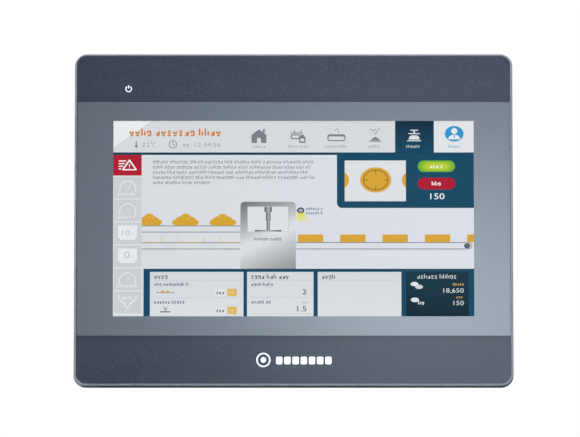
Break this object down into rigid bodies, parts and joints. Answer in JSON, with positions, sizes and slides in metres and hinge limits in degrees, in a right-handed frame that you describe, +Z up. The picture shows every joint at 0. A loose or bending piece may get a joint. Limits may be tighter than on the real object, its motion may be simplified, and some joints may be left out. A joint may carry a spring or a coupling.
{
  "type": "panel-mount operator touch panel",
  "caption": "Flush-mount operator touch panel with a wide colour screen, a two-tone grey front, a stepped rear case and a connector bay in its underside.",
  "frame": {"origin": "centre of the seat plane, where the back of the front flange meets the cabinet door", "axes": "+X to the right seen from the front, +Y from the front into the cabinet, +Z up"},
  "size_m": [0.271, 0.0364, 0.213],
  "materials": {
    "bezel": "fine grained moulded plastic with a satin sheen",
    "film": "printed polyester film, blue grey, fine satin grain",
    "touch_glass": "clear anti-glare touch sheet",
    "gasket_rubber": "black silicone rubber",
    "flat_cable": "amber polyimide flat cable",
    "foam": "dark closed-cell foam",
    "steel_sheet": "zinc plated sheet steel",
    "display": "lit display showing a process picture",
    "acrylic": "clear acrylic",
    "lamp_white": "white lamp bodies",
    "zinc_screw": "zinc plated screws",
    "brass": "turned brass",
    "circuit_board": "green solder mask",
    "chip_black": "black moulded component bodies",
    "aluminium_black": "black anodised aluminium",
    "capacitor_can": "bare aluminium cans",
    "terminal_green": "green polyamide terminal housing",
    "contact_metal": "tinned contact metal",
    "gold_contact": "gold plated contacts",
    "switch_blue": "blue switch body",
    "slider_white": "white actuators",
    "port_steel": "nickel plated port shells",
    "port_black": "black port insulators",
    "cover_plastic": "dark grey moulded cover, fine spark texture",
    "label": "blank silver label"
  },
  "bodies": {
    "housing": {"backlight_strip": "lamp_white", "battery_holder": "port_black", "board_screws": "zinc_screw", "board_standoffs": "brass", "buzzer": "chip_black", "cable_sockets": "slider_white", "capacitors": "capacitor_can", "coin_cell": "port_steel", "cover_screws": "zinc_screw", "dip_body": "switch_blue", "display_cable": "flat_cable", "dust_seal": "foam", "front_bezel": "bezel", "heat_sink": "aluminium_black", "inductors": "chip_black", "jack_screws": "zinc_screw", "lan_contacts": "gold_contact", "lan_insert": "port_black", "lan_shell": "port_steel", "lcd_back_plate": "steel_sheet", "lcd_cell": "display", "lcd_frame": "steel_sheet", "light_guide": "acrylic", "main_board": "circuit_board", "memory_chips": "chip_black", "mounting_plate": "steel_sheet", "overlay_film": "film", "panel_gasket": "gasket_rubber", "plate_screws": "zinc_screw", "power_led": "lamp_white", "power_light_pipe": "acrylic", "processor": "chip_black", "rating_label": "label", "rear_cover": "cover_plastic", "reset_body": "port_black", "serial_a_insert": "port_black", "serial_a_shell": "port_steel", "serial_b_insert": "port_black", "serial_b_pins": "gold_contact", "serial_b_shell": "port_steel", "terminal_header": "terminal_green", "terminal_header_pins": "contact_metal", "thermal_pad": "foam", "touch_panel": "touch_glass", "touch_tail": "flat_cable", "usb_shell": "port_steel", "usb_tongue": "port_black"},
    "plug": {"terminal_plug": "terminal_green", "plug_contacts": "contact_metal"},
    "screw_1": {"terminal_screw_1": "zinc_screw"},
    "clamp_1": {"terminal_clamp_1": "contact_metal"},
    "screw_2": {"terminal_screw_2": "zinc_screw"},
    "clamp_2": {"terminal_clamp_2": "contact_metal"},
    "screw_3": {"terminal_screw_3": "zinc_screw"},
    "clamp_3": {"terminal_clamp_3": "contact_metal"},
    "way_1": {"dip_slider_1": "slider_white"},
    "way_2": {"dip_slider_2": "slider_white"},
    "way_3": {"dip_slider_3": "slider_white"},
    "way_4": {"dip_slider_4": "slider_white"},
    "button": {"reset_button": "slider_white"}
  },
  "joints": [
    {"name": "plug_pull", "type": "slide", "parent": "housing", "child": "plug", "axis": [0, 0, -1], "range_m": [0, 0.01]},
    {"name": "screw_1_turn", "type": "hinge", "parent": "plug", "child": "screw_1", "pos_m": [-0.08508, 0.028, -0.0894], "axis": [0, -1, 0], "range_deg": [0, 1586]},
    {"name": "clamp_1_rise", "type": "slide", "parent": "plug", "child": "clamp_1", "axis": [0, 1, 0], "range_m": [0, 0.0022]},
    {"name": "screw_2_turn", "type": "hinge", "parent": "plug", "child": "screw_2", "pos_m": [-0.08, 0.028, -0.0894], "axis": [0, -1, 0], "range_deg": [0, 1586]},
    {"name": "clamp_2_rise", "type": "slide", "parent": "plug", "child": "clamp_2", "axis": [0, 1, 0], "range_m": [0, 0.0022]},
    {"name": "screw_3_turn", "type": "hinge", "parent": "plug", "child": "screw_3", "pos_m": [-0.07492, 0.028, -0.0894], "axis": [0, -1, 0], "range_deg": [0, 1586]},
    {"name": "clamp_3_rise", "type": "slide", "parent": "plug", "child": "clamp_3", "axis": [0, 1, 0], "range_m": [0, 0.0022]},
    {"name": "way_1_slide", "type": "slide", "parent": "housing", "child": "way_1", "axis": [0, 1, 0], "range_m": [0, 0.0018]},
    {"name": "way_2_slide", "type": "slide", "parent": "housing", "child": "way_2", "axis": [0, 1, 0], "range_m": [0, 0.0018]},
    {"name": "way_3_slide", "type": "slide", "parent": "housing", "child": "way_3", "axis": [0, 1, 0], "range_m": [0, 0.0018]},
    {"name": "way_4_slide", "type": "slide", "parent": "housing", "child": "way_4", "axis": [0, 1, 0], "range_m": [0, 0.0018]},
    {"name": "reset_press", "type": "slide", "parent": "housing", "child": "button", "axis": [0, 0, 1], "range_m": [0, 0.0005], "stiffness_N_per_m": 400}
  ],
  "couplings": [
    {"joint": "screw_1_turn", "follows": "clamp_1_rise", "rad_per_m": 12566},
    {"joint": "screw_2_turn", "follows": "clamp_2_rise", "rad_per_m": 12566},
    {"joint": "screw_3_turn", "follows": "clamp_3_rise", "rad_per_m": 12566}
  ]
}
